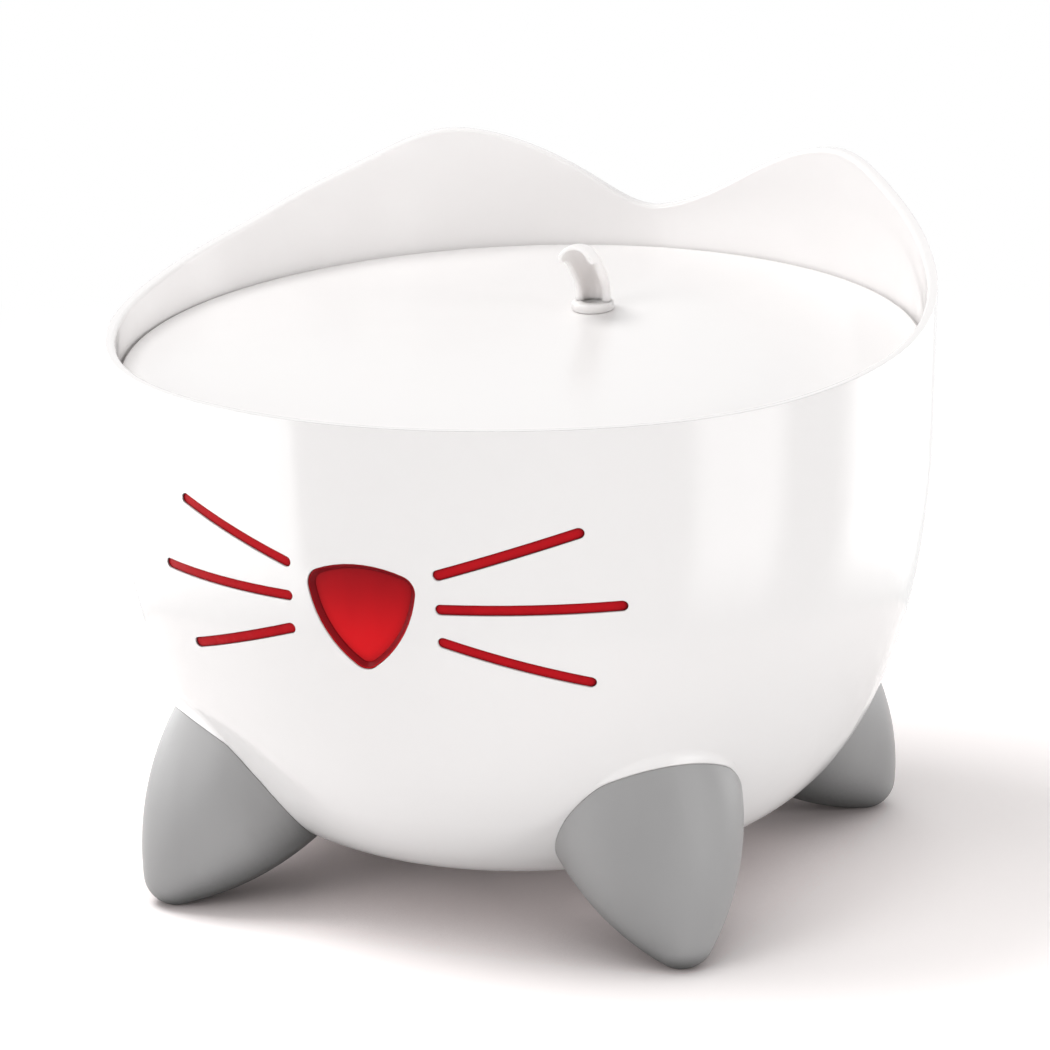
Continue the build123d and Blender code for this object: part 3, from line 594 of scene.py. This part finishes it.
def lamp(name, azimuth, elevation, reach, size, strength):
    """A square area lamp that faces the basin. Azimuth 0 is in front, 90 on the right. The card
    stands for it in the gloss."""
    turn, rise = math.radians(azimuth), math.radians(elevation)
    toward = Vector((math.sin(turn) * math.cos(rise), -math.cos(turn) * math.cos(rise), math.sin(rise)))
    data = bpy.data.lights.new(name, "AREA")
    data.size = size
    data.energy = strength
    light = bpy.data.objects.new(name, data)
    light.matrix_world = (Matrix.Translation(toward * reach + aim)
                          @ toward.to_track_quat("Z", "Y").to_matrix().to_4x4())
    light.visible_camera = light.visible_glossy = False
    bpy.context.scene.collection.objects.link(light)


lamp("key", -84, 64, 2.6, 1.2, 37)
lamp("fill", -30, 18, 3.0, 1.6, 29)
lamp("side", 84, 10, 3.0, 0.9, 32)

card_reach, card_top = 0.26, 0.34       # its radius and height
card_fade = 0.06                        # height at which its bands reach full strength
card_ends, card_steps = (-150.0, 185.0), (336, 18)
card_bands = [                          # first and last azimuth, width of the soft sides, strength
    (-115.0, -28.0, 4.0, 3.0), (59.0, 81.0, 8.0, 2.2), (103.0, 150.0, 14.0, 2.9)]


def card_glow(turn, height):
    """Strength of the card at an azimuth in degrees and a height: 1, as bright as the sky, plus
    for each band of light its strength times a window with smooth sides. All bands rise smoothly
    from nothing at the table."""
    def smooth(x):
        return np.clip(x, 0, 1) ** 2 * (3 - 2 * np.clip(x, 0, 1))

    bands = sum(strength * smooth((turn - first) / side + 0.5) * smooth((last - turn) / side + 0.5)
                for first, last, side, strength in card_bands)
    return 1.0 + bands * smooth(height / card_fade)


columns, rows = card_steps
turn, height = np.meshgrid(np.linspace(*card_ends, columns), np.linspace(0, card_top, rows))
line = np.stack((card_reach * np.sin(np.radians(turn)), -card_reach * np.cos(np.radians(turn)),
                 height), axis=-1)
corner = (np.arange(rows - 1)[:, None] * columns + np.arange(columns - 1)).reshape(-1, 1)
card_mesh = bpy.data.meshes.new("card")
card_mesh.from_pydata(line.reshape(-1, 3).tolist(), [],
                      (corner + (0, 1, columns + 1, columns)).tolist())
card_mesh.attributes.new("glow", "FLOAT", "POINT").data.foreach_set(
    "value", card_glow(turn, height).ravel())
card_white = bpy.data.materials.new("card_white")
card_white.use_nodes = True
card_tree = card_white.node_tree
card_tree.nodes.clear()
glow = put(card_tree, "Attribute", attribute_name="glow", output="Fac")
put(card_tree, "OutputMaterial", {"Surface": put(card_tree, "Emission", {"Strength": glow})})
card_mesh.materials.append(card_white)
card = bpy.data.objects.new("card", card_mesh)
for rays in ("camera", "diffuse", "transmission", "volume_scatter", "shadow"):
    setattr(card, "visible_" + rays, False)
bpy.context.scene.collection.objects.link(card)

bpy.context.scene.view_settings.view_transform = "Standard"
